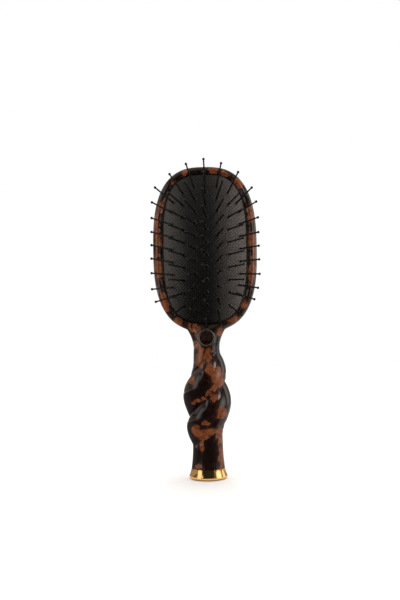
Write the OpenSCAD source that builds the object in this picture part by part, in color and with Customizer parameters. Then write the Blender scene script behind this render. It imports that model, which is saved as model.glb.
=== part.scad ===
/* [Head] */
// Half of the head's width
head_a = 37.4; // [34:0.1:42]
// Height of the widest part of the head above the table
head_z = 164; // [158:0.5:170]
// Rise of the head's crown above its widest part
head_up = 60.1; // [57:0.1:64]
// Drop of the head's outline below its widest part
head_down = 57.5; // [56:0.1:62]
// Half of the head's thickness
head_d = 8.6; // [8:0.1:10]

/* [Cushion] */
// Half of the cushion's width
pad_a = 29.5; // [28:0.1:30]
// Half of the cushion's height
pad_b = 52.5; // [50:0.1:53]
// Height of the cushion's centre above the table
pad_z = 164.5; // [163:0.1:166]
// Rise of the dome above the cushion's edge
dome_h = 8; // [5:0.1:9]
// Thickness of the rubber
rubber_t = 1.2; // [1:0.1:1.5]
// Dark gap between the rubber and the frame
pad_gap = 1.1; // [0.8:0.1:1.4]
// Depth of the air cavity's floor behind the brush axis
cavity_floor = 2.4; // [1:0.1:3]
// Radius of the air vent through the back
vent_r = 1; // [0.6:0.1:1.5]

/* [Pins] */
// Length of a pin from the rubber to the end of its ball
pin_len = 20; // [16:0.5:22]
// Radius of a pin where it leaves the rubber
pin_r = 0.65; // [0.55:0.05:0.7]
// Radius of a pin below its ball
pin_tip_r = 0.5; // [0.4:0.01:0.55]
// Radius of the ball on a pin's end
ball_r = 0.9; // [0.75:0.05:1]
// Distance between neighbouring columns of pins
col_pitch = 8; // [7.8:0.05:8.2]
// Distance between neighbouring pins in a column
row_pitch = 8.85; // [8.6:0.05:8.9]
// Sideways splay of the pins at the reach given below
splay_x = 0.9; // [0.5:0.05:1]
// Up-and-down splay of the pins at the reach given below
splay_z = 0.75; // [0.3:0.05:0.85]
// Extra upward splay of the outer pins near the crown
crown_fan = 0.6; // [0:0.1:0.8]
// Lean that all the pins share, to the right
lean_x = -0.09; // [-0.1:0.01:0.1]
// Unevenness in the set of single pins
uneven_set = 0.07; // [0:0.01:0.1]
// Farthest that the middle of the cushion goes in
press = 4; // [2:0.1:4]

/* [Twist] */
// Height at which the upper strand is farthest to the left
twist_z = 57.9; // [56:0.1:62]
// Rise of the twist for each quarter turn
quarter_rise = 14.5; // [13:0.1:16]
// Distance of a strand's centre from the axis at its fullest
strand_off = 2.9; // [2:0.1:3.5]
// Extra radius of a strand at its fullest
strand_swell = 4.4; // [3:0.1:5]
// Half of the height over which a strand stands off the axis
strand_reach = 30.5; // [26:0.5:32]
// Half of the height over which a strand swells
swell_reach = 27.3; // [24:0.1:30]
// How far each strand's middle lies above or below the twist's middle
strand_shift = 4.9; // [3:0.1:6]
// Depth of the crease under the lip of a strand
crease = 1; // [0.2:0.1:1.5]
// Radius of the shaft below the twist
shaft_r = 10.95; // [10:0.05:12]
// Radius of the neck above the twist
neck_r = 9.35; // [8.5:0.05:10]

/* [Foot] */
// Height of the gold foot above the table
foot_h = 7.4; // [6:0.1:9]
// Radius of the foot at its widest
foot_r = 13.85; // [13:0.05:15]
// Radius of the foot's upper edge and of the handle's lower end
foot_top_r = 12.1; // [11.5:0.05:12.5]
// Radius of the steel ballast slug
slug_r = 6.5; // [5:0.1:7]
// Length of the steel ballast slug
slug_len = 34; // [20:1:36]
// Radius of the base screw's thread
screw_r = 2.5; // [2:0.5:3]

/* [Medallion] */
// Height of the medallion's centre above the table
medal_z = 100.6; // [99:0.1:102]
// Radius of the medallion's ring
medal_r = 6.3; // [5.5:0.1:6.6]

/* [Hidden] */

tortoise = [0.24, 0.12, 0.07];
black = [0.06, 0.06, 0.065];
gold = [0.86, 0.68, 0.34];
steel = [0.62, 0.63, 0.65];

sides = 48;                 // points around the body's and the cushion's outlines
twist_mid = twist_z - 0.9;  // height of the twist's middle
crease_below = 28;          // how far below and above a strand's middle its lip stands out
crease_above = 40;
lip_width = 13;             // angle over which the lip of a strand rounds into the crease
tuck_width = 50;            // angle over which the other strand runs down into it
fit_gap = 0.05;             // radial clearance of a part in its hole
eps = 0.01;                 // overshoot of a cutting shape

neck_start = 93;            // heights at which the neck starts to flare, is last full, and ends
neck_full = 106;
neck_end = 126;
neck_flare = 0.00234;       // how fast it flares
neck_flat = 0.8;            // how thin it gets

head_pow = 2.75;            // squareness of the head's outline
face_pow = 2.2;             // roundness of its edge
edge_pow = 9;               // how late the head's faces start to round towards its edge
pad_pow = 3;                // squareness of the cushion's outline
dome_pow = 2.4;             // flatness of the dome's middle
edge_y = -5.6;              // where the dome meets its skirt
skirt_y = -3.3;             // front of the bead
bead_y = -1.7;              // back of the bead
bead_out = pad_gap + 1.3;   // reach of the bead beyond the dome
groove_out = bead_out + 0.15;
groove_slack = 0.1;
bevel_foot = -4.8;          // where the bevel inside the frame starts
bevel_wide = 5.1;           // its reach outward and forward, past the frame's face
bevel_deep = 3.9;

pin_limit = 0.872;          // farthest pins, as a share of the way to the cushion's edge
// where the groups of pins that go in by the same amount end, as shares of the same way
ring_ends = [0.34, 0.47, 0.56, 0.6, 0.69, 0.76, 0.82, 0.857];
reach_x = 24;               // distances from the centre at which the splay is given
reach_z = 45;
field_x = 0.8;              // how far the field of pins sits right of and above the cushion's centre
field_z = 3.3;
head_gap = 0.75;            // space between the rubber and a pin's flat head
pin_head_r = 1.5;
pin_head_t = 0.6;
stem = rubber_t + 0.35;     // straight length of a pin below the rubber's surface

medal_y = 8.2;              // how far the medallion's back lies in front of the axis
medal_t = 1.9;              // its thickness at the ring, and inside it
medal_floor = 0.8;
medal_band = 1.2;           // width of the ring
peg_r = 1.5;
peg_len = 3.8;

spigot_r = 10;              // handle's end inside the foot
spigot_z = 2.6;
pad_t = 1.0;                // foot pad
cap_z = 0.2;                // underside of the metal foot
slug_z = 3.4;

function sgn_pow(v, p) = sign(v) * pow(abs(v), p);
function mix(a, b, t) = a + (b - a) * min(max(t, 0), 1);
function bump(z, centre, reach) = max(0, 1 - pow((z - centre) / reach, 2));

// ---- outlines of the head and the cushion ----
function oval(a, b, n, count) =
    [for (i = [0:count - 1]) let (t = 360 * i / count)
        [a * sgn_pow(cos(t), 2 / n), b * sgn_pow(sin(t), 2 / n)]];
function pad_share(x, z) =
    pow(pow(abs(x) / pad_a, pad_pow) + pow(abs(z) / pad_b, pad_pow), 1 / pad_pow);
function dome_y(s) = edge_y - dome_h * (1 - pow(s, dome_pow));

// ---- the body's surface, as a distance from the axis ----
// the strands turn faster where the twist starts and ends
function strand_angle(z) =
    90 * (z - twist_z) / quarter_rise - 90 + 0.3 * pow(max(0, z - 82), 2) - 0.8 * pow(max(0, 30 - z), 2);
function core_r(z) =
    mix(shaft_r, neck_r, (z - 20) / 75)
    + (foot_top_r - shaft_r) * pow(max(0, (23 - z) / (23 - foot_h)), 2);
function strand_r(z, mid) = core_r(z) + strand_swell * bump(z, mid, swell_reach);
function strand_c(z, mid) = strand_off * bump(z, mid, strand_reach);
// reach of a strand whose middle is at a height mid, at an angle off its own centre
function strand(z, mid, off) =
    let (r = strand_r(z, mid), c = strand_c(z, mid)) c * cos(off) + sqrt(r * r - pow(c * sin(off), 2));
function crease_depth(z, mid) =
    crease * sqrt(bump(z, mid, z < mid ? crease_below : crease_above)) * min(1, max(0, (98 - z) / 8));
// each strand fills half a turn: its leading edge is a round lip, and its other edge runs under the next lip
function half_rope(z, mine, other, off) =
    let (edge = strand(z, mine, 90), step = max(0, edge - strand(z, other, 90)),
         lip_drop = step + crease_depth(z, mine), tuck_drop = step + crease_depth(z, other),
         near_lip = max(0, 1 - (90 - off) / lip_width), near_tuck = max(0, 1 - (off + 90) / tuck_width))
    strand(z, mine, off) - lip_drop * (1 - sqrt(1 - pow(near_lip, 2))) - tuck_drop * pow(near_tuck, 2);
function rope(z, a) =
    let (up = twist_mid + strand_shift, low = twist_mid - strand_shift,
         off = ((a - strand_angle(z) + 90) % 360 + 360) % 360 - 90)
    off < 90 ? half_rope(z, up, low, off) : half_rope(z, low, up, off - 180);

function head_b(z) = z > head_z ? head_up : head_down;
function head_share(x, z) =
    pow(pow(abs(x) / head_a, head_pow) + pow(abs(z - head_z) / head_b(z), head_pow), 1 / head_pow);
function in_head(x, y, z) = pow(head_share(x, z), edge_pow) + pow(abs(y) / head_d, face_pow) < 1;
function head_ray(z, a, low = 0, high = 60, n = 22) =
    n == 0 ? low
    : let (m = (low + high) / 2)
      in_head(m * sin(a), m * cos(a), z) ? head_ray(z, a, m, high, n - 1) : head_ray(z, a, low, m, n - 1);
function head_half(z) =
    let (v = abs(z - head_z) / head_b(z)) v >= 1 ? 0 : head_a * pow(1 - pow(v, head_pow), 1 / head_pow);

// the neck widens sideways and thins front to back as it runs up into the head
function neck_wide(z) = 1 + neck_flare * pow(max(0, z - neck_start), 2);
function neck_thin(z) = mix(1, neck_flat, (z - neck_start - 4) / 14);
function neck_fade(z) = 1 - pow(max(0, (z - neck_full) / (neck_end - neck_full)), 2);
function neck_ray(z, a) = z > neck_end ? 0
    : rope(z, a) * neck_fade(z) / norm([sin(a) / neck_wide(z), cos(a) / neck_thin(z)]);
function body_ray(z, a) =
    let (h = head_half(z) > 0 ? head_ray(z, a) : 0, r = neck_ray(z, a))
    pow(pow(h, 7) + pow(r, 7), 1 / 7);

// directions of the points around one slice: they turn with the strands, crowd at the lips, and
// crowd at a wide slice's ends
function grid_turn(z) = min(max(strand_angle(z), -345), 165) - 90;
function crowding(z) = 1 + 0.6 * min(1, max(0, (100 - z) / 8)) * min(1, max(0, (z - 20) / 4));
function half_turn(z, i) =
    let (half = sides / 2, k = i % half) 180 * floor(i / half) + 180 * (1 - pow(1 - k / half, crowding(z)));
function slice(z) =
    let (w = max(head_half(z), neck_r), d = min(w, head_d + 0.8))
    [for (i = [0:sides - 1])
        let (t = half_turn(z, i) + grid_turn(z), a = z < 96 ? t : atan2(w * sin(t), d * cos(t)),
             r = body_ray(z, a))
        [r * sin(a), -r * cos(a), z]];
body_heights = concat(
    [for (z = [foot_h:3.7:21.9]) z],
    [for (z = [23.2:1.6:96]) z],
    [for (z = [98.5:2.5:128]) z],
    [for (z = [134:8:190]) z],
    [for (t = [0:7.5:82.5]) 196 + (head_z + head_up - 196 - 0.02) * sin(t)],
    [head_z + head_up - 0.02]);

// a closed skin through rings of points, each ring with the same number of points
module skin(rings) {
    n = len(rings[0]);
    last = len(rings) - 1;
    points = [for (r = rings) each r];
    walls = [for (k = [0:last - 1]) for (i = [0:n - 1])
        let (j = (i + 1) % n, a = k * n + i, b = k * n + j, c = a + n, d = b + n)
        each [[a, c, b], [b, c, d]]];
    caps = [[for (i = [0:n - 1]) i], [for (i = [n - 1:-1:0]) last * n + i]];
    polyhedron(points, concat(walls, caps), convexity = 8);
}

// ---- brush body ----
module cushion_prism(out, front, back) {
    translate([0, back, pad_z]) rotate([90, 0, 0]) linear_extrude(back - front)
        polygon(oval(pad_a + out, pad_b + out, pad_pow, 64));
}
module bevel() {
    skin([for (s = [0, 1]) let (out = pad_gap + s * bevel_wide, y = bevel_foot - s * bevel_deep)
        [for (p = oval(pad_a + out, pad_b + out, pad_pow, 64)) [p[0], y, pad_z + p[1]]]]);
}
module brush_body() {
    color(tortoise) difference() {
        union() {
            skin([for (z = body_heights) slice(z)]);
            translate([0, 0, spigot_z]) cylinder(r = spigot_r, h = foot_h - spigot_z + 1, $fn = 64);
        }
        cushion_prism(pad_gap, -20, cavity_floor);
        cushion_prism(groove_out, skirt_y - groove_slack, bead_y + groove_slack);
        bevel();
        translate([0, 20, pad_z]) rotate([90, 0, 0]) cylinder(r = vent_r, h = 20, $fn = 32);
        translate([0, 0, spigot_z - 1])
            cylinder(r = slug_r + fit_gap, h = slug_z + slug_len - spigot_z + 1, $fn = 64);
        translate([0, 0, medal_z]) rotate([90, 0, 0]) medal_seat();
    }
}

// ---- neck medallion: a disc with a raised ring and a peg in the neck ----
module medal_seat() {
    translate([0, 0, medal_y]) cylinder(r = medal_r + fit_gap, h = 10, $fn = 64);
    translate([0, 0, medal_y - peg_len - 0.2]) cylinder(r = peg_r + fit_gap, h = 6, $fn = 32);
}
module neck_medallion() {
    round = 0.3;
    color(tortoise) translate([0, 0, medal_z]) rotate([90, 0, 0]) translate([0, 0, medal_y])
        rotate_extrude($fn = 64) polygon([
            [0, -peg_len], [peg_r, -peg_len], [peg_r, 0], [medal_r, 0],
            [medal_r, medal_t - round], [medal_r - round, medal_t],
            [medal_r - medal_band + round, medal_t], [medal_r - medal_band, medal_t - round],
            [medal_r - medal_band, medal_floor], [0, medal_floor]]);
}

// ---- cushion ----
dome_shares = [0.03, 0.15, 0.3, 0.45, 0.58, 0.7, 0.8, 0.88, 0.95, 1];
function pad_ring(s, out, y) = [for (p = oval(s * (pad_a + out), s * (pad_b + out), pad_pow, sides))
    [p[0], y, pad_z + p[1]]];
module membrane_skin() {
    skin(concat(
        [for (s = dome_shares) pad_ring(s, 0, dome_y(s))],
        [pad_ring(1, 0, skirt_y), pad_ring(1, bead_out, skirt_y), pad_ring(1, bead_out, bead_y),
         pad_ring(1, -rubber_t, bead_y)],
        [for (i = [len(dome_shares) - 1:-1:0]) let (s = dome_shares[i])
            pad_ring(s, -rubber_t, dome_y(s) + rubber_t)]));
}
module cushion_membrane() {
    color(black) difference() {
        membrane_skin();
        for (p = pins) at_pin(p)
            translate([0, 0, -rubber_t * 3]) cylinder(r = pin_r + fit_gap, h = 5, $fn = 16);
    }
}

// ---- pins: staggered columns, those at the corners drawn in to the outline ----
function columns() = [-3, -2, -1, 0, 1, 2, 3];
function first_row(c) = abs(c) == 3 || abs(c) == 2 ? -4 : -5;
function last_row(c) = abs(c) == 3 ? 4 : c == 0 ? 6 : 5;
function drawn_in(x, z) = let (s = pad_share(x, z), k = min(1, pin_limit / max(s, eps))) [x * k, z * k];
function spot(c, r) =
    drawn_in(field_x + c * col_pitch, field_z - r * row_pitch - (abs(c) % 2) * row_pitch / 2);
// a scatter that is the same each time
function uneven(c, r, k) = uneven_set * sin(1700 * c + 2900 * r + 5300 * k);
function splay(c, r, p) = [
    splay_x * sgn_pow(p[0] / reach_x, 1.3) + lean_x + uneven(c, r, 1), -1,
    splay_z * sgn_pow(p[1] / reach_z, 2.6) + uneven(c, r, 2)
        + crown_fan * abs(p[0]) / reach_x * pow(max(0, p[1] / reach_z), 4)];
pins = [for (c = columns()) for (r = [first_row(c):last_row(c)])
    let (p = spot(c, r), s = pad_share(p[0], p[1])) [[p[0], dome_y(s), pad_z + p[1]], splay(c, r, p), s]];
function ring_of(s) = len([for (end = ring_ends) if (s > end) end]);

module at_pin(p) {
    d = p[1];
    translate(p[0]) rotate([0, acos(d[2] / norm(d)), atan2(d[1], d[0])]) children();
}
module pin() {
    translate([0, 0, -stem]) cylinder(r = pin_r, h = stem + 0.4, $fn = 24);
    translate([0, 0, 0.4]) cylinder(r1 = pin_r, r2 = pin_tip_r, h = pin_len - ball_r - 0.4, $fn = 24);
    translate([0, 0, pin_len - ball_r]) sphere(r = ball_r, $fn = 24);
    translate([0, 0, -stem - head_gap - pin_head_t]) {
        cylinder(r = pin_head_r, h = pin_head_t, $fn = 24);
        cylinder(r = pin_r, h = pin_head_t + head_gap + eps, $fn = 24);
    }
}
module pin_ring(k) {
    color(black) for (p = pins) if (ring_of(p[2]) == k) at_pin(p) pin();
}

// ---- foot ----
module base_cap() {
    color(gold) difference() {
        rotate_extrude($fn = 96) polygon(concat([[0, cap_z], [foot_r - 1.4, cap_z]],
            [for (a = [-60:30:0]) [foot_r - 1.4 + 1.4 * cos(a), cap_z + 1.6 + 1.6 * sin(a)]],
            [[foot_r - 0.45, 3], [foot_r - 1.05, 4.6], [foot_top_r + 0.12, 6.2], [foot_top_r, foot_h],
             [0, foot_h]]));
        translate([0, 0, spigot_z]) cylinder(r = spigot_r + fit_gap, h = foot_h, $fn = 64);
        translate([0, 0, -1]) cylinder(r = 11.6, h = 1 + pad_t, $fn = 64);
        translate([0, 0, -1]) cylinder(r = screw_r + 0.2, h = 6, $fn = 32);
        translate([0, 0, pad_t - eps]) cylinder(r1 = screw_r + 1.65, r2 = screw_r + 0.2, h = 1.45, $fn = 32);
    }
}
module ballast_slug() {
    color(steel) translate([0, 0, slug_z]) difference() {
        cylinder(r = slug_r, h = slug_len, $fn = 64);
        translate([0, 0, -1]) cylinder(r = screw_r, h = 13, $fn = 32);
    }
}
module base_screw() {
    color(steel) difference() {
        union() {
            translate([0, 0, pad_t + 0.05]) cylinder(r1 = screw_r + 1.45, r2 = screw_r, h = 1.45, $fn = 32);
            translate([0, 0, pad_t + 1.45]) cylinder(r = screw_r, h = 10, $fn = 32);
        }
        translate([0, 0, pad_t]) cylinder(r = 1.3, h = 1.4, $fn = 6);
    }
}
module foot_pad() {
    color(black) cylinder(r = 11.5, h = pad_t, $fn = 64);
}

brush_body();
neck_medallion();
cushion_membrane();
base_cap();
ballast_slug();
base_screw();
foot_pad();
pin_ring(0);  // pins_centre
pin_ring(1);  // pins_ring_1
pin_ring(2);  // pins_ring_2
pin_ring(3);  // pins_ring_3
pin_ring(4);  // pins_ring_4
pin_ring(5);  // pins_ring_5
pin_ring(6);  // pins_ring_6
pin_ring(7);  // pins_ring_7
pin_ring(8);  // pins_ring_8
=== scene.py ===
"""A vanity hairbrush that stands on a gold foot.

It has a tortoiseshell rope handle, a black air cushion and ball-tipped pins.
"""

import math

import bmesh
import bpy
import numpy as np
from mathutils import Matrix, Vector


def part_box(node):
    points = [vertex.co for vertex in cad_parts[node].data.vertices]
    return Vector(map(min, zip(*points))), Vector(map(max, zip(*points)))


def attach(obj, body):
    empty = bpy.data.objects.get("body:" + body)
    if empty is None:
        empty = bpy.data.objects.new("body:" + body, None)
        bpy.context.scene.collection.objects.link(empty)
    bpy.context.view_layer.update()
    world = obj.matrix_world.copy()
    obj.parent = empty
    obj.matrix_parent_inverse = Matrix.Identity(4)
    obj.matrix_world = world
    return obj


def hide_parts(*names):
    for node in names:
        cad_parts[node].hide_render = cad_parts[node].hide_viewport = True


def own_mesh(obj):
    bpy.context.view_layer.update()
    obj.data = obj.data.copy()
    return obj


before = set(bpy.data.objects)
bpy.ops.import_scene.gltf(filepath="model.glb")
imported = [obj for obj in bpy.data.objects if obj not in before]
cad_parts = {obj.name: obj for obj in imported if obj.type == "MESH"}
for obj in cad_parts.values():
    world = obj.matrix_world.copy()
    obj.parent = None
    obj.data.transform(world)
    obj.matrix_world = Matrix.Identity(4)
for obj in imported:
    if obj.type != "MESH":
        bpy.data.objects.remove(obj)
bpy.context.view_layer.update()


# ------------------------------------------------------------------ sizes, in millimetres
MM = 0.001


def box(node):
    """A node's lowest and highest corners."""
    low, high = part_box(node)
    return low / MM, high / MM


_, body_high = box("brush_body")
pad_low, pad_high = box("cushion_membrane")
cap_low, cap_high = box("base_cap")
medal_low, medal_high = box("neck_medallion")

HEAD_HALF = body_high.x
CROWN = body_high.z
HEAD_MID = 164
HEAD_DROP = 57.5
HEAD_DEPTH = 8.6
HEAD_POW = 2.75
EDGE_POW = 9
FACE_POW = 2.2

PAD_GAP = 1.1
BEAD_OUT = PAD_GAP + 1.3
RUBBER = 1.2
PAD_A = pad_high.x - BEAD_OUT
PAD_B = (pad_high.z - pad_low.z) / 2 - BEAD_OUT
PAD_MID = (pad_high.z + pad_low.z) / 2
PAD_POW = 3
DOME_POW = 2.4
DOME_RISE = 8
DOME_EDGE = pad_low.y + DOME_RISE
BEAD_BACK = pad_high.y
BEAD_FRONT = BEAD_BACK - 1.6
GROOVE_SLACK = 0.1
CAVITY_FLOOR = 2.4
BEVEL_WIDE = 5.1
BEVEL_DEEP = 3.9
BEVEL_FOOT = -4.8
RIDGE = 0.45
VENT_R = 1

FOOT_H = cap_high.z
FOOT_R = cap_high.x
FOOT_TOP_R = 12.1
SPIGOT_R = 10
SPIGOT_Z = 2.6
PAD_SEAT_R = 11.6

TWIST_Z = 57.9
TWIST_MID = TWIST_Z - 0.9
QUARTER_RISE = 14.5
STRAND_OFF = 2.9
STRAND_SWELL = 4.4
STRAND_REACH = 30.5
SWELL_REACH = 27.3
STRAND_SHIFT = 4.9
CREASE = 1.0
CREASE_BELOW = 28
CREASE_ABOVE = 40
LIP_WIDTH = 13
TUCK_WIDTH = 50
TURN_FAST_BELOW = 30
TURN_FAST_ABOVE = 82
SHAFT_R = 10.95
NECK_R = 9.35
TAPER_FROM = 20
TAPER_TO = 95
FLARE_TOP = 23
SMOOTH_ABOVE = 98
FLAT_FROM = 97
FLAT_TO = 111
FLATTEN = 0.2
WIDEN_FROM = 93
WIDEN = 0.00234
NECK_END = 106
NECK_FADE = 20
JOIN_POW = 7

COLUMN_PITCH = 8.0
ROW_PITCH = 8.85
FIELD_X = 0.8
FIELD_Z = 3.3
PIN_LIMIT = 0.872

# width of one diamond of the rubber's pattern
DIAMOND = 2.3

# clouds in the acetate that show on the front: x, z, half of the width, half of the height
CLOUDS = [
    (1.0, 88, 2.8, 5.6), (-5.0, 87, 3.2, 7.5), (-7.4, 96, 2.6, 3.2), (2.7, 78, 3.2, 4.6),
    (7.6, 73, 4.2, 7.6), (-11.7, 70.5, 3.4, 2.6), (-7, 56, 3.4, 1.6), (-2.4, 58.6, 2.3, 1.6),
    (1.3, 61.8, 2.4, 1.8), (4.6, 65, 2.4, 2), (5.6, 58.8, 2.9, 3.0), (9.4, 48.7, 4.0, 4.4),
    (-1.2, 41.2, 3.2, 1.8), (-3.6, 33, 6.0, 3.6), (3.2, 34.6, 5.0, 2.8), (-8.8, 36, 2.4, 3.6),
    (-5.2, 25, 2.0, 5), (9.2, 31, 2.6, 7.5), (9.2, 15, 2.2, 9), (-7, 8.8, 3.2, 1.6),
    (-13.5, 218.4, 2.4, 4), (-20, 211.5, 4, 2.5), (-31, 194, 3, 5.6), (-34.5, 180, 2.2, 14),
    (-33, 169.6, 3.4, 4.2), (-32, 149, 3.6, 7.0), (-34.8, 158, 1.8, 16), (-29, 127, 4, 8.5),
    (-20, 112, 4, 4), (7, 221, 2.6, 4), (24.5, 212, 5.5, 4.5), (15, 217.5, 3, 2),
    (33, 189, 3.4, 7), (33.6, 170, 3.4, 7.2), (32.6, 146, 3.6, 8.5), (35, 160, 1.6, 14),
    (27, 125, 3, 4), (-9, 108, 4.4, 5.4), (19, 114, 6.5, 3.8), (10, 105, 3, 4)]

# the clouds' middle lies this far in front of the axis, and they reach this deep
CLOUD_FRONT = 12
CLOUD_DEPTH = 14

# colours of the light from the room and from the bright cards
ROOM = (0.38, 0.335, 0.295)
WARM = (1.0, 0.95, 0.9)


# ------------------------------------------------------------------ camera, table and light
def studio():
    scene = bpy.context.scene
    scene.view_settings.view_transform = "Standard"
    lens = bpy.data.cameras.new("camera")
    camera = bpy.data.objects.new("camera", lens)
    scene.collection.objects.link(camera)
    scene.camera = camera
    camera.location = (0, -0.4245, 0.0899)
    camera.rotation_euler = (math.radians(90), math.radians(0.92), 0)
    lens.lens = 35.24
    lens.shift_y = 0.0885
    lens.shift_x = -0.011
    lens.clip_start = 0.02
    lens.clip_end = 20

    world = bpy.data.worlds.new("studio")
    scene.world = world
    world.use_nodes = True
    tree = world.node_tree
    seen = tree.nodes.new("ShaderNodeLightPath")
    colour = tree.nodes.new("ShaderNodeMix")
    colour.data_type = "RGBA"
    colour.inputs[6].default_value = (*ROOM, 1)
    colour.inputs[7].default_value = (1, 1, 1, 1)
    tree.links.new(seen.outputs["Is Camera Ray"], colour.inputs[0])
    tree.links.new(colour.outputs[2], tree.nodes["Background"].inputs["Color"])

    table = slab("table", 6, 6)
    table.data.materials.append(plain("table_white", (0.9, 0.9, 0.9)))

    dark_card("front_card", (0, -0.75, 0.35), (0, 0, 0.35), 1.2, 1.3, 0.01)
    dark_card("front_mat", (0, -0.39, 0.002), (0, -0.39, -1), 1.0, 0.74, 0.01)
    dark_card("left_mat", (-0.52, 0, 0.001), (-0.52, 0, -1), 1.0, 2.0, 0.1)
    dark_card("right_mat", (0.52, 0, 0.001), (0.52, 0, -1), 1.0, 2.0, 0.4)
    bright_card("left_wall", (-0.9, 0, 0.75), (0, 0, 0.3), 1.8, 0.9, 0.7, 0.5)
    bright_card("right_wall", (0.9, 0, 0.4), (0, 0, 0.12), 1.8, 1.1, 1.3, 0.5)
    bright_card("left_box", (-0.52, -0.3, 0.24), (0, 0, 0.1), 0.4, 0.6, 1.5, 0.5)
    bright_card("right_box", (0.6, -0.2, 0.24), (0, 0, 0.12), 0.7, 0.7, 2.6, 1)
    bright_card("left_high", (-0.5, -0.5, 0.55), (0, 0, 0.17), 0.3, 0.5, 6, 1)
    bright_card("right_high", (0.55, -0.42, 0.55), (0, 0, 0.17), 0.36, 0.6, 9, 0.8)

    above = bpy.data.lights.new("above", "SUN")
    above.energy = 3.4
    above.angle = math.radians(80)
    lamp = bpy.data.objects.new("above", above)
    lamp.rotation_euler = (-0.3, 0, 0)
    lamp.visible_glossy = False
    scene.collection.objects.link(lamp)


def slab(name, width, depth):
    bm = bmesh.new()
    bmesh.ops.create_grid(bm, x_segments=1, y_segments=1, size=0.5)
    bmesh.ops.scale(bm, vec=(width, depth, 1), verts=bm.verts)
    mesh = bpy.data.meshes.new(name)
    bm.to_mesh(mesh)
    bm.free()
    obj = bpy.data.objects.new(name, mesh)
    bpy.context.scene.collection.objects.link(obj)
    return obj


def card(name, place, aim, width, height, material):
    """A card that faces aim and that the camera doesn't see."""
    obj = slab(name, width, height)
    obj.location = place
    obj.rotation_euler = (Vector(aim) - Vector(place)).to_track_quat("-Z", "Y").to_euler()
    obj.data.materials.append(material)
    obj.visible_camera = False
    return obj


def dark_card(name, place, aim, width, height, shade):
    """A dark card that only shows in gloss: it takes no light from the table."""
    obj = card(name, place, aim, width, height, plain(name, (shade, shade, shade)))
    obj.visible_diffuse = False
    obj.visible_shadow = False


def bright_card(name, place, aim, width, height, strength, soft):
    """A glowing card; soft is the share of it that fades towards its edges."""
    paint = Paint(name)
    across, along, _ = paint.axes(paint.place())
    half = 0.5 / MM
    full = (1 - soft) * half
    fade_across = 1 - abs(across).step(width * full, width * half)
    fade_along = 1 - abs(along).step(height * full, height * half)
    shade = paint.blend(fade_across * fade_along, (0, 0, 0), WARM)
    glow = paint.node("ShaderNodeEmission", None, {"Color": shade, "Strength": strength})
    paint.node("ShaderNodeOutputMaterial", None, {"Surface": glow})
    card(name, place, aim, width, height, paint.material)


# ------------------------------------------------------------------ shader maths
class Value:
    """A shader socket that can be added, multiplied and compared like a number."""

    def __init__(self, paint, socket):
        self.paint = paint
        self.socket = socket

    def _math(self, operation, *values):
        return self.paint.node("ShaderNodeMath", {"operation": operation}, dict(enumerate(values)))

    def __add__(self, other):
        return self._math("ADD", self, other)

    def __radd__(self, other):
        return self._math("ADD", other, self)

    def __sub__(self, other):
        return self._math("SUBTRACT", self, other)

    def __rsub__(self, other):
        return self._math("SUBTRACT", other, self)

    def __mul__(self, other):
        return self._math("MULTIPLY", self, other)

    def __rmul__(self, other):
        return self._math("MULTIPLY", other, self)

    def __abs__(self):
        return self._math("ABSOLUTE", self)

    def sine(self):
        return self._math("SINE", self)

    def merged(self, other, soft):
        """The smaller of two values, with a soft corner between them."""
        return self._math("SMOOTH_MIN", self, other, soft)

    def step(self, low, high):
        """0 below low, 1 above high, and smooth between."""
        return self.paint.node("ShaderNodeMapRange", {"interpolation_type": "SMOOTHSTEP"},
                               {"Value": self, "From Min": low, "From Max": high})


class Paint:
    """A material in the making."""

    def __init__(self, name):
        self.material = bpy.data.materials.new(name)
        self.material.use_nodes = True
        self.tree = self.material.node_tree
        self.tree.nodes.clear()

    def node(self, kind, settings=None, sockets=None, out=0):
        """Adds a node: its settings first, then the values or links of its sockets."""
        made = self.tree.nodes.new(kind)
        for key, setting in (settings or {}).items():
            setattr(made, key, setting)
        for key, value in (sockets or {}).items():
            if isinstance(value, Value):
                self.tree.links.new(value.socket, made.inputs[key])
            else:
                made.inputs[key].default_value = value
        return Value(self, made.outputs[out]) if made.outputs else None

    def vector(self, operation, *values, out=0):
        return self.node("ShaderNodeVectorMath", {"operation": operation}, dict(enumerate(values)), out)

    def place(self):
        """Where a point is, in millimetres."""
        metres = self.node("ShaderNodeTexCoord", out=3)
        return self.vector("MULTIPLY", metres, (1 / MM, 1 / MM, 1 / MM))

    def axes(self, vector):
        return [self.node("ShaderNodeSeparateXYZ", None, {0: vector}, out=i) for i in range(3)]

    def noise(self, where, scale, detail, out=0):
        return self.node("ShaderNodeTexNoise", None, {"Vector": where, "Scale": scale, "Detail": detail}, out)

    def blend(self, share, low, high):
        """A colour that runs from low to high."""
        low, high = [c if isinstance(c, Value) else (*c, 1) for c in (low, high)]
        return self.node("ShaderNodeMix", {"data_type": "RGBA"}, {0: share, 6: low, 7: high}, out=2)

    def relief(self, height, depth):
        """A normal that follows a height between 0 and 1, depth millimetres deep."""
        return self.node("ShaderNodeBump", None, {"Height": height, "Distance": depth * MM})

    def surface(self, sockets):
        shader = self.node("ShaderNodeBsdfPrincipled", None, sockets)
        self.node("ShaderNodeOutputMaterial", None, {"Surface": shader})
        return self.material


def plain(name, colour):
    paint = Paint(name)
    return paint.surface({"Base Color": (*colour, 1), "Roughness": 0.8})


# ------------------------------------------------------------------ finishes
HALF = (0.5, 0.5, 0.5)


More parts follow.
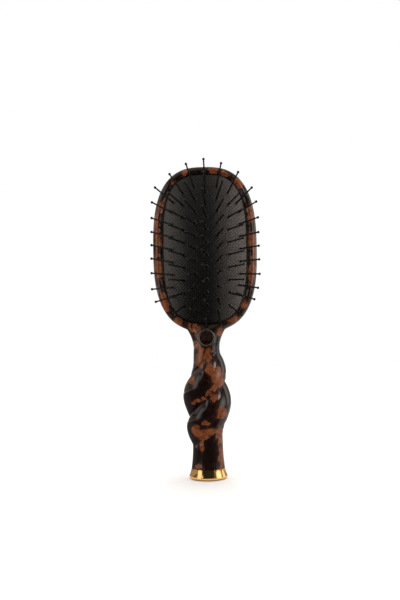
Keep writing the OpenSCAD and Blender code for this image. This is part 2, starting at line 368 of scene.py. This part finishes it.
def tortoiseshell():
    """Polished acetate: amber clouds in near-black brown."""
    paint = Paint("tortoiseshell")
    where = paint.place()
    wide_drift = paint.vector("SUBTRACT", paint.noise(where, 0.16, 1, out=1), HALF)
    fine_drift = paint.vector("SUBTRACT", paint.noise(where, 0.55, 1, out=1), HALF)
    pushed = paint.vector("MULTIPLY_ADD", wide_drift, (7, 7, 7), where)
    ragged = paint.vector("MULTIPLY_ADD", fine_drift, (2.6, 2.6, 2.6), pushed)
    reach = None
    for x, z, wide, high in CLOUDS:
        inverse = (1 / wide, 1 / CLOUD_DEPTH, 1 / high)
        centre = (-x / wide, CLOUD_FRONT / CLOUD_DEPTH, -z / high)
        cloud = paint.vector("LENGTH", paint.vector("MULTIPLY_ADD", ragged, inverse, centre), out=1)
        reach = cloud if reach is None else reach.merged(cloud, 0.35)
    depth = paint.axes(where)[1]
    behind = paint.noise(ragged, 0.085, 1)
    far_side = depth.step(1, 5)
    amber = 1 - reach.step(0.9, 1.06) * (1 - behind.step(0.51, 0.55) * far_side)
    halo = 1 - reach.step(0.95, 1.7) * (1 - behind.step(0.42, 0.53) * far_side)
    tone = paint.noise(where, 0.3, 3)
    light = paint.blend(tone.step(0.3, 0.7), (0.115, 0.031, 0.010), (0.22, 0.068, 0.024))
    dark = paint.blend(tone.step(0.4, 0.75), (0.006, 0.0026, 0.0019), (0.018, 0.0065, 0.0042))
    ground = paint.blend(halo * 0.55, dark, (0.05, 0.014, 0.007))
    return paint.surface({"Base Color": paint.blend(amber, ground, light), "Roughness": 0.13, "IOR": 1.49})


def rubber():
    """Moulded natural rubber with a fine diamond pattern; its flanks carry a painted sheen, lighter on the
    right.
    """
    paint = Paint("rubber")
    where = paint.place()
    x, y, z = paint.axes(where)
    turns = math.pi / DIAMOND
    ridge = abs(((x + z) * turns).sine()) * abs(((x - z) * turns).sine())
    # random noise that varies the roughness and the painted sheen on the flanks
    sheen_mottle = paint.noise(where, 0.3, 3)
    # painted sheen: the base colour runs from near black in the middle to a lit grey at the flanks, lighter
    # on the right, standing in for the side lights
    painted_flank_sheen = abs(x + 5).step(6, 40)
    shade = paint.blend(painted_flank_sheen * (sheen_mottle * 0.4 + 0.8), (0.006, 0.0055, 0.005), (0.1, 0.087, 0.078))
    return paint.surface({"Base Color": shade, "Roughness": sheen_mottle * 0.06 + 0.27,
                          "Normal": paint.relief(ridge, 0.2)})


def nylon():
    """Smooth black nylon."""
    paint = Paint("nylon")
    grain = paint.noise(paint.place(), 2.0, 2)
    return paint.surface({"Base Color": paint.blend(grain, (0.004, 0.004, 0.004), (0.008, 0.0075, 0.007)),
                          "Roughness": grain * 0.1 + 0.2})


def gold():
    """Polished gold plate."""
    paint = Paint("gold_plate")
    grain = paint.noise(paint.place(), 1.5, 3)
    return paint.surface({"Base Color": paint.blend(grain, (0.90, 0.52, 0.18), (0.95, 0.60, 0.25)),
                          "Metallic": 1.0, "Roughness": grain * 0.05 + 0.04})


def bronze():
    """Aged bronze with dark recesses."""
    paint = Paint("aged_bronze")
    tone = paint.noise(paint.place(), 1.2, 3).step(0.35, 0.65)
    return paint.surface({"Base Color": paint.blend(tone, (0.20, 0.155, 0.125), (0.36, 0.29, 0.235)),
                          "Metallic": 1.0, "Roughness": tone * 0.12 + 0.32})


def enamel():
    """Glossy brown-black enamel."""
    paint = Paint("dark_enamel")
    tone = paint.noise(paint.place(), 0.8, 3).step(0.35, 0.65)
    return paint.surface({"Base Color": paint.blend(tone, (0.014, 0.007, 0.005), (0.022, 0.011, 0.008)),
                          "Roughness": tone * 0.1 + 0.15})


def steel():
    """Turned steel."""
    paint = Paint("steel")
    grain = paint.noise(paint.place(), 3, 3)
    return paint.surface({"Base Color": paint.blend(grain, (0.45, 0.45, 0.47), (0.55, 0.55, 0.57)),
                          "Metallic": 1.0, "Roughness": grain * 0.2 + 0.25})


# ------------------------------------------------------------------ meshes
def skin(name, rings):
    """A closed surface through rings of points in millimetres, with as many points in each ring."""
    rings = np.asarray(rings, float) * MM
    count, around = rings.shape[:2]
    rows = np.arange(count - 1)[:, None] * around
    here = np.arange(around)[None, :]
    after = (here + 1) % around
    quads = np.stack([rows + here, rows + around + here, rows + around + after, rows + after], -1)
    faces = quads.reshape(-1, 4).tolist()
    faces.append(list(range(around)))
    faces.append(list(range(count * around - 1, (count - 1) * around - 1, -1)))
    mesh = bpy.data.meshes.new(name)
    mesh.from_pydata(rings.reshape(-1, 3).tolist(), [], faces)
    obj = bpy.data.objects.new(name, mesh)
    bpy.context.scene.collection.objects.link(obj)
    bm = bmesh.new()
    bm.from_mesh(mesh)
    bmesh.ops.recalc_face_normals(bm, faces=bm.faces)
    bm.to_mesh(mesh)
    bm.free()
    return obj


def smooth(obj, sharp):
    """Shades smooth, except along edges that turn by more than sharp degrees."""
    mesh = obj.data
    mesh.shade_smooth()
    bm = bmesh.new()
    bm.from_mesh(mesh)
    for edge in bm.edges:
        edge.smooth = len(edge.link_faces) == 2 and edge.calc_face_angle() < math.radians(sharp)
    bm.to_mesh(mesh)
    bm.free()
    return obj


def carve(obj, cutter):
    """Cuts cutter out of obj."""
    tool = obj.modifiers.new("cut", "BOOLEAN")
    tool.operation = "DIFFERENCE"
    tool.solver = "EXACT"
    tool.object = cutter
    bpy.context.view_layer.objects.active = obj
    bpy.ops.object.modifier_apply(modifier=tool.name)
    bpy.data.objects.remove(cutter)


def finished(obj, material, node):
    """The piece takes the place of a frame node on the brush."""
    obj.data.materials.append(material)
    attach(obj, "brush")
    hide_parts(node)


def signed_power(v, p):
    return np.sign(v) * np.abs(v) ** p


def oval(a, b, power, around):
    t = np.linspace(0, 2 * math.pi, around, endpoint=False)
    return a * signed_power(np.cos(t), 2 / power), b * signed_power(np.sin(t), 2 / power)


def pad_ring(out, y, around):
    """An outline round the cushion, out millimetres outside it."""
    x, z = oval(PAD_A + out, PAD_B + out, PAD_POW, around)
    return np.stack([x, np.full_like(x, y), PAD_MID + z], -1)


# ------------------------------------------------------------------ the body's surface
def hump(z, mid, reach):
    return max(0, 1 - ((z - mid) / reach) ** 2)


def share(low, high, v):
    """0 at low, 1 at high."""
    return min(max((v - low) / (high - low), 0), 1)


def core_radius(z):
    flare = max(0, (FLARE_TOP - z) / (FLARE_TOP - FOOT_H)) ** 2
    taper = share(TAPER_FROM, TAPER_TO, z)
    return SHAFT_R + (NECK_R - SHAFT_R) * taper + (FOOT_TOP_R - SHAFT_R) * flare


def strand_angle(z):
    """Where the upper strand's centre points; the strands turn faster at both ends."""
    turned = 90 * (z - TWIST_Z) / QUARTER_RISE - 90
    return turned + 0.3 * max(0, z - TURN_FAST_ABOVE) ** 2 - 0.8 * max(0, TURN_FAST_BELOW - z) ** 2


def strand(z, mid, off):
    """How far a strand reaches at an angle off its own centre."""
    r = core_radius(z) + STRAND_SWELL * hump(z, mid, SWELL_REACH)
    c = STRAND_OFF * hump(z, mid, STRAND_REACH)
    off = np.radians(off)
    return c * np.cos(off) + np.sqrt(r * r - (c * np.sin(off)) ** 2)


def crease_depth(z, mid):
    reach = CREASE_BELOW if z < mid else CREASE_ABOVE
    return CREASE * math.sqrt(hump(z, mid, reach)) * share(SMOOTH_ABOVE, 90, z)


def half_rope(z, mine, other, off):
    """Each strand fills half a turn: a round lip leads, and its other edge runs under the next lip."""
    edge = strand(z, mine, 90)
    step = max(0, edge - strand(z, other, 90))
    lip_drop = step + crease_depth(z, mine)
    tuck_drop = step + crease_depth(z, other)
    near_lip = np.maximum(0, 1 - (90 - off) / LIP_WIDTH)
    near_tuck = np.maximum(0, 1 - (off + 90) / TUCK_WIDTH)
    return strand(z, mine, off) - lip_drop * (1 - np.sqrt(1 - near_lip ** 2)) - tuck_drop * near_tuck ** 2


def rope(z, angle):
    upper = TWIST_MID + STRAND_SHIFT
    lower = TWIST_MID - STRAND_SHIFT
    off = (angle - strand_angle(z) + 90) % 360 - 90
    first = half_rope(z, upper, lower, np.minimum(off, 90))
    second = half_rope(z, lower, upper, np.maximum(off, 90) - 180)
    return np.where(off < 90, first, second)


def head_share(x, z):
    reach = CROWN - HEAD_MID if z > HEAD_MID else HEAD_DROP
    return (np.abs(x / HEAD_HALF) ** HEAD_POW + abs((z - HEAD_MID) / reach) ** HEAD_POW) ** (1 / HEAD_POW)


def head_ray(z, angle):
    """How far the head reaches from the axis, found by halving."""
    low = np.zeros_like(angle)
    high = np.full_like(angle, 60)
    for _ in range(26):
        mid = (low + high) / 2
        x = mid * np.sin(np.radians(angle))
        y = mid * np.cos(np.radians(angle))
        inside = head_share(x, z) ** EDGE_POW + np.abs(y / HEAD_DEPTH) ** FACE_POW < 1
        low = np.where(inside, mid, low)
        high = np.where(inside, high, mid)
    return low


def body_ray(z, angle):
    """How far the body reaches: the rope runs into a flatter, wider neck, and the neck into the head."""
    thin = 1 - FLATTEN * share(FLAT_FROM, FLAT_TO, z)
    wide = 1 + WIDEN * max(0, z - WIDEN_FROM) ** 2
    fade = max(0, 1 - (max(0, z - NECK_END) / NECK_FADE) ** 2)
    a = np.radians(angle)
    neck = rope(z, angle) * fade / np.hypot(np.sin(a) / wide, np.cos(a) / thin)
    return (head_ray(z, angle) ** JOIN_POW + neck ** JOIN_POW) ** (1 / JOIN_POW)


def head_half_width(z):
    reach = CROWN - HEAD_MID if z > HEAD_MID else HEAD_DROP
    across = min(abs((z - HEAD_MID) / reach), 1)
    return HEAD_HALF * (1 - across ** HEAD_POW) ** (1 / HEAD_POW)


def slice_angles(z, around):
    """Directions of one slice's points: they turn with the strands and crowd at their lips."""
    crowd = 1 + 0.6 * share(100, 92, z) * share(20, 24, z)
    half = 180 * (1 - (1 - np.arange(around // 2) / (around // 2)) ** crowd)
    angle = np.concatenate([half, half + 180]) + min(max(strand_angle(z), -345), 165) - 90
    if z < 96:
        return angle
    wide = max(head_half_width(z), NECK_R)
    deep = min(wide, HEAD_DEPTH + 0.8)
    a = np.radians(angle)
    return np.degrees(np.arctan2(wide * np.sin(a), deep * np.cos(a)))


def ring(r, angle, z):
    a = np.radians(angle)
    r = np.broadcast_to(r, angle.shape)
    return np.stack([r * np.sin(a), -r * np.cos(a), np.full_like(r, z, dtype=float)], -1)


def bevelled(points):
    """Lowers the frame's front face to the bevel round the cushion, with a rounded ridge between."""
    x = points[:, 0]
    z = points[:, 2] - PAD_MID
    along = np.maximum(pad_share(x, z), 0.5)
    slope = np.hypot((x / PAD_A) ** 2 / PAD_A, (z / PAD_B) ** 2 / PAD_B) / along ** 2
    out = (along - 1) / slope
    bevel = BEVEL_FOOT - (np.maximum(out, -8) - PAD_GAP) * BEVEL_DEEP / BEVEL_WIDE
    gap = (points[:, 1] - bevel) / RIDGE
    blend = np.where(gap > 0, 0, -gap) + np.log1p(np.exp(-np.abs(gap)))
    raised = points[:, 1] + RIDGE * blend
    points[:, 1] = np.where((points[:, 1] < 0) & (out < 9), raised, points[:, 1])
    return points


def body_shell():
    """Head frame, neck and rope handle in one piece, with the cushion's cavity and the vent."""
    around = 320
    crown_rise = np.sin(np.linspace(0, math.pi / 2, 44)[1:])
    heights = np.concatenate([
        np.linspace(FOOT_H, 22, 16)[:-1], np.linspace(22, 98, 190)[:-1], np.linspace(98, 130, 54)[:-1],
        np.linspace(130, 190, 40), 190 + (CROWN - 0.02 - 190) * crown_rise])
    rings = []
    for z in heights:
        angle = slice_angles(float(z), around)
        rings.append(bevelled(ring(body_ray(float(z), angle), angle, z)))
    spigot = [ring(SPIGOT_R, slice_angles(FOOT_H, around), z) for z in (SPIGOT_Z, FOOT_H)]
    shell = skin("brush_shell", spigot + rings)
    carve(shell, cavity_cutter())
    carve(shell, vent_cutter())
    finished(smooth(shell, 28), TORTOISESHELL, "brush_body")


def cavity_cutter():
    """The gap round the rubber, the bead's groove and the air space."""
    groove = BEAD_OUT + 0.15
    profile = [(PAD_GAP, -20), (PAD_GAP, BEAD_FRONT - GROOVE_SLACK), (groove, BEAD_FRONT - GROOVE_SLACK),
               (groove, BEAD_BACK + GROOVE_SLACK), (PAD_GAP, BEAD_BACK + GROOVE_SLACK),
               (PAD_GAP, CAVITY_FLOOR)]
    return skin("cavity", [pad_ring(out, y, 320) for out, y in profile])


def vent_cutter():
    angle = np.linspace(0, 360, 48, endpoint=False)
    steps = ((VENT_R, 0), (VENT_R, HEAD_DEPTH - 0.4), (VENT_R + 1, HEAD_DEPTH + 0.6))
    rings = []
    for r, y in steps:
        around = ring(r, angle, 0)
        rings.append(np.stack([around[:, 0], np.full(48, y), PAD_MID + around[:, 1]], -1))
    return skin("vent", rings)


# ------------------------------------------------------------------ cushion
def pad_share(x, z):
    return (abs(x / PAD_A) ** PAD_POW + abs(z / PAD_B) ** PAD_POW) ** (1 / PAD_POW)


def pin_spots():
    """Where the pins leave the rubber: staggered columns, drawn in at the corners."""
    spots = []
    for column in range(-3, 4):
        first = -4 if abs(column) > 1 else -5
        last = {3: 4, 0: 6}.get(abs(column), 5)
        for row in range(first, last + 1):
            x = FIELD_X + column * COLUMN_PITCH
            z = FIELD_Z - row * ROW_PITCH - (abs(column) % 2) * ROW_PITCH / 2
            keep = min(1, PIN_LIMIT / max(pad_share(x, z), 0.01))
            spots.append((x * keep, z * keep))
    return np.array(spots)


def dome_y(along):
    """The dome's surface at a share of the way from its middle to its edge."""
    return DOME_EDGE - DOME_RISE * (1 - along ** DOME_POW)


def cushion():
    """The rubber skin: a dome with a small collar round each pin, its skirt and its bead."""
    around = 720
    outward = np.concatenate([np.linspace(0.004, 0.9, 120), np.linspace(0.91, 1, 12)])
    spots = pin_spots()
    rings = []
    for along in outward:
        x, z = oval(along * PAD_A, along * PAD_B, PAD_POW, around)
        y = np.full_like(x, dome_y(along))
        away = np.sqrt(((x[:, None] - spots[:, 0]) ** 2 + (z[:, None] - spots[:, 1]) ** 2).min(1))
        collar = np.clip(1 - np.abs(away - 1.15) / 0.6, 0, 1)
        y -= 0.4 * collar * collar * (3 - 2 * collar)
        rings.append(np.stack([x, y, PAD_MID + z], -1))
    for out, y in ((0, BEAD_FRONT), (BEAD_OUT, BEAD_FRONT), (BEAD_OUT, BEAD_BACK), (-RUBBER, BEAD_BACK)):
        rings.append(pad_ring(out, y, around))
    for along in outward[::-4]:
        x, z = oval(along * (PAD_A - RUBBER), along * (PAD_B - RUBBER), PAD_POW, around)
        rings.append(np.stack([x, np.full_like(x, dome_y(along) + RUBBER), PAD_MID + z], -1))
    pad = smooth(skin("cushion_skin", rings), 50)
    finished(pad, RUBBER_BLACK, "cushion_membrane")
    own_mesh(pad)


# ------------------------------------------------------------------ turned pieces
def gold_foot():
    """The foot: a rounded lower edge, and a flare that runs up to the handle."""
    round_r = 1.6
    edge = [(FOOT_R - round_r + round_r * math.cos(a), cap_low.z + round_r + round_r * math.sin(a))
            for a in np.radians(np.linspace(-90, 8, 14))]
    start = np.array(edge[-1])
    top = np.array([FOOT_TOP_R, FOOT_H])
    lean = np.array([FOOT_TOP_R + 0.25, (start[1] + FOOT_H) / 2 + 0.6])
    flare = [(1 - s) ** 2 * start + 2 * s * (1 - s) * lean + s * s * top for s in np.linspace(0, 1, 20)[1:]]
    inside = SPIGOT_R + 0.1
    floor = SPIGOT_Z - 0.6
    profile = [(0.01, floor), (PAD_SEAT_R, floor), (PAD_SEAT_R, cap_low.z), *edge, *flare,
               (inside, FOOT_H), (inside, SPIGOT_Z), (0.01, SPIGOT_Z)]
    angle = np.linspace(0, 360, 180, endpoint=False)
    foot = smooth(skin("gold_foot", [ring(r, angle, z) for r, z in profile]), 40)
    finished(foot, GOLD, "base_cap")


def medallion():
    """A disc with a peg, a raised corded ring and a softly domed centre."""
    r = medal_high.x
    front = -medal_low.y
    middle = (medal_low.z + medal_high.z) / 2
    seat = 8.2
    band = 1.5
    half = band / 2
    crest = [(r - half + half * math.cos(a), front - half + half * math.sin(a), 0.16 * math.sin(a))
             for a in np.linspace(0, math.pi, 18)]
    profile = [(0.01, -medal_high.y, 0), (1.5, -medal_high.y, 0), (1.5, seat, 0), (r, seat, 0), *crest,
               (r - band, seat + 0.7, 0), (r - band - 0.5, seat + 0.55, 0), (2.4, seat + 0.8, 0),
               (0.01, seat + 0.9, 0)]
    angle = np.linspace(0, 360, 432, endpoint=False)
    rings = []
    for i, (radius, height, cord) in enumerate(profile):
        wave = cord * (np.abs(np.sin(np.radians(18 * angle + 12 * i))) - 1)
        flat = ring(radius, angle, 0)
        rings.append(np.stack([flat[:, 0], -height - wave, middle + flat[:, 1]], -1))
    disc = smooth(skin("medallion_disc", rings), 50)
    finished(disc, BRONZE, "neck_medallion")
    disc.data.materials.append(ENAMEL)
    for face in disc.data.polygons:
        away = math.hypot(face.center.x, face.center.z - middle * MM) / MM
        if away < r - band and face.center.y < -seat * MM:
            face.material_index = 1


def finish_frame_nodes():
    """The frame's own nodes that stay get their finishes."""
    finishes = {"pins": NYLON, "ballast_slug": STEEL, "base_screw": STEEL, "foot_pad": RUBBER_BLACK}
    for name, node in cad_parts.items():
        for start, material in finishes.items():
            if name.startswith(start):
                node.data.materials.clear()
                node.data.materials.append(material)


TORTOISESHELL = tortoiseshell()
RUBBER_BLACK = rubber()
NYLON = nylon()
GOLD = gold()
BRONZE = bronze()
ENAMEL = enamel()
STEEL = steel()

studio()
body_shell()
cushion()
gold_foot()
medallion()
finish_frame_nodes()
